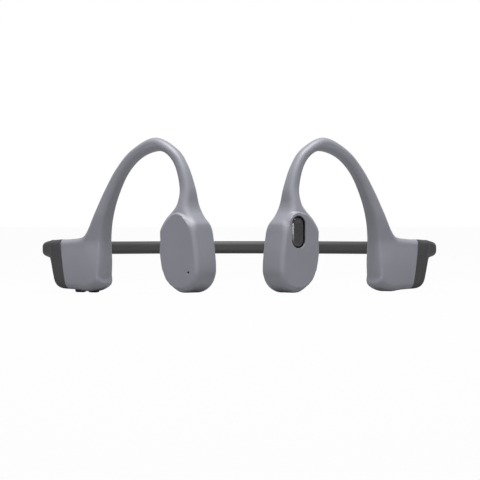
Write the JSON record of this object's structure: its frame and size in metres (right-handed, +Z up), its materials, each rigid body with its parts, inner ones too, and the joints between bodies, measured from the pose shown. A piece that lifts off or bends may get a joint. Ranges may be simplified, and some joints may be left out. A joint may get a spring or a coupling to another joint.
{
  "type": "bone conduction headphones",
  "caption": "Open-ear headphones: a springy neckband joins a hooked unit on each side, whose pod plays through the cheekbone; buttons on one pod and under one housing.",
  "frame": {"origin": "centre of the footprint at the height of the surface that the volume buttons stand on", "axes": "+X towards the wearer's left, -Y towards the wearer's front, +Z up"},
  "size_m": [0.1206, 0.0973, 0.0464],
  "materials": {
    "band_silicone": "satin",
    "spring_alloy": "drawn",
    "lead_jacket": "matte",
    "skin_silicone": "soft-touch matte",
    "cover_plastic": "soft-touch matte",
    "hard_plastic": "moulded",
    "spring_steel": "etched",
    "yoke_steel": "plated",
    "magnet_nickel": "nickel plated",
    "copper_winding": "enamelled",
    "cell_foil": "laminated foil",
    "circuit_board": "solder mask",
    "module_shield": "tin plated",
    "button_gloss": "satin metallised",
    "button_satin": "satin",
    "contact_gold": "plated",
    "light_pipe": "frosted"
  },
  "bodies": {
    "rear_band": {"rear_band_sleeve": "band_silicone", "rear_band_core": "spring_alloy", "rear_band_lead": "lead_jacket"},
    "left_side": {"left_band_sleeve": "band_silicone", "left_band_core": "spring_alloy", "left_band_lead": "lead_jacket", "left_skin": "skin_silicone", "left_hook_core": "spring_alloy", "left_hook_lead": "lead_jacket", "left_housing_tub": "hard_plastic", "left_housing_cover": "cover_plastic", "left_pod_cup": "hard_plastic", "left_pod_pad": "cover_plastic", "left_spring_plate": "spring_steel", "left_yoke": "yoke_steel", "left_magnet": "magnet_nickel", "left_pole_plate": "yoke_steel", "left_speech_coil": "copper_winding", "battery_cell": "cell_foil", "battery_board": "circuit_board", "button_bezel": "hard_plastic", "button_switch_board": "circuit_board"},
    "right_side": {"right_band_sleeve": "band_silicone", "right_band_core": "spring_alloy", "right_band_lead": "lead_jacket", "right_skin": "skin_silicone", "right_hook_core": "spring_alloy", "right_hook_lead": "lead_jacket", "right_housing_tub": "hard_plastic", "right_housing_cover": "cover_plastic", "right_pod_cup": "hard_plastic", "right_pod_pad": "cover_plastic", "right_spring_plate": "spring_steel", "right_yoke": "yoke_steel", "right_magnet": "magnet_nickel", "right_pole_plate": "yoke_steel", "right_speech_coil": "copper_winding", "main_board": "circuit_board", "radio_module": "module_shield", "volume_switch_board": "circuit_board", "charging_contacts": "contact_gold", "status_light_pipe": "light_pipe", "microphone_capsule": "module_shield", "microphone_mesh": "spring_steel"},
    "multifunction_button": {"multifunction_button": "button_gloss"},
    "volume_up_button": {"volume_up_button": "button_satin"},
    "volume_down_button": {"volume_down_button": "button_satin"}
  },
  "joints": [
    {"name": "left_band_flex", "type": "hinge", "parent": "rear_band", "child": "left_side", "pos_m": [0.03842, 0.03377, 0.013], "axis": [0, 0, 1], "range_deg": [-4, 45], "stiffness_Nm_per_rad": 0.12},
    {"name": "right_band_flex", "type": "hinge", "parent": "rear_band", "child": "right_side", "pos_m": [-0.03842, 0.03377, 0.013], "axis": [0, 0, -1], "range_deg": [-4, 45], "stiffness_Nm_per_rad": 0.12},
    {"name": "multifunction_press", "type": "slide", "parent": "left_side", "child": "multifunction_button", "axis": [-0.6157, 0.788, 0], "range_m": [0, 0.0003], "stiffness_N_per_m": 3000},
    {"name": "volume_up_press", "type": "slide", "parent": "right_side", "child": "volume_up_button", "axis": [0, 0, 1], "range_m": [0, 0.0003], "stiffness_N_per_m": 2500},
    {"name": "volume_down_press", "type": "slide", "parent": "right_side", "child": "volume_down_button", "axis": [0, 0, 1], "range_m": [0, 0.0003], "stiffness_N_per_m": 2500}
  ]
}
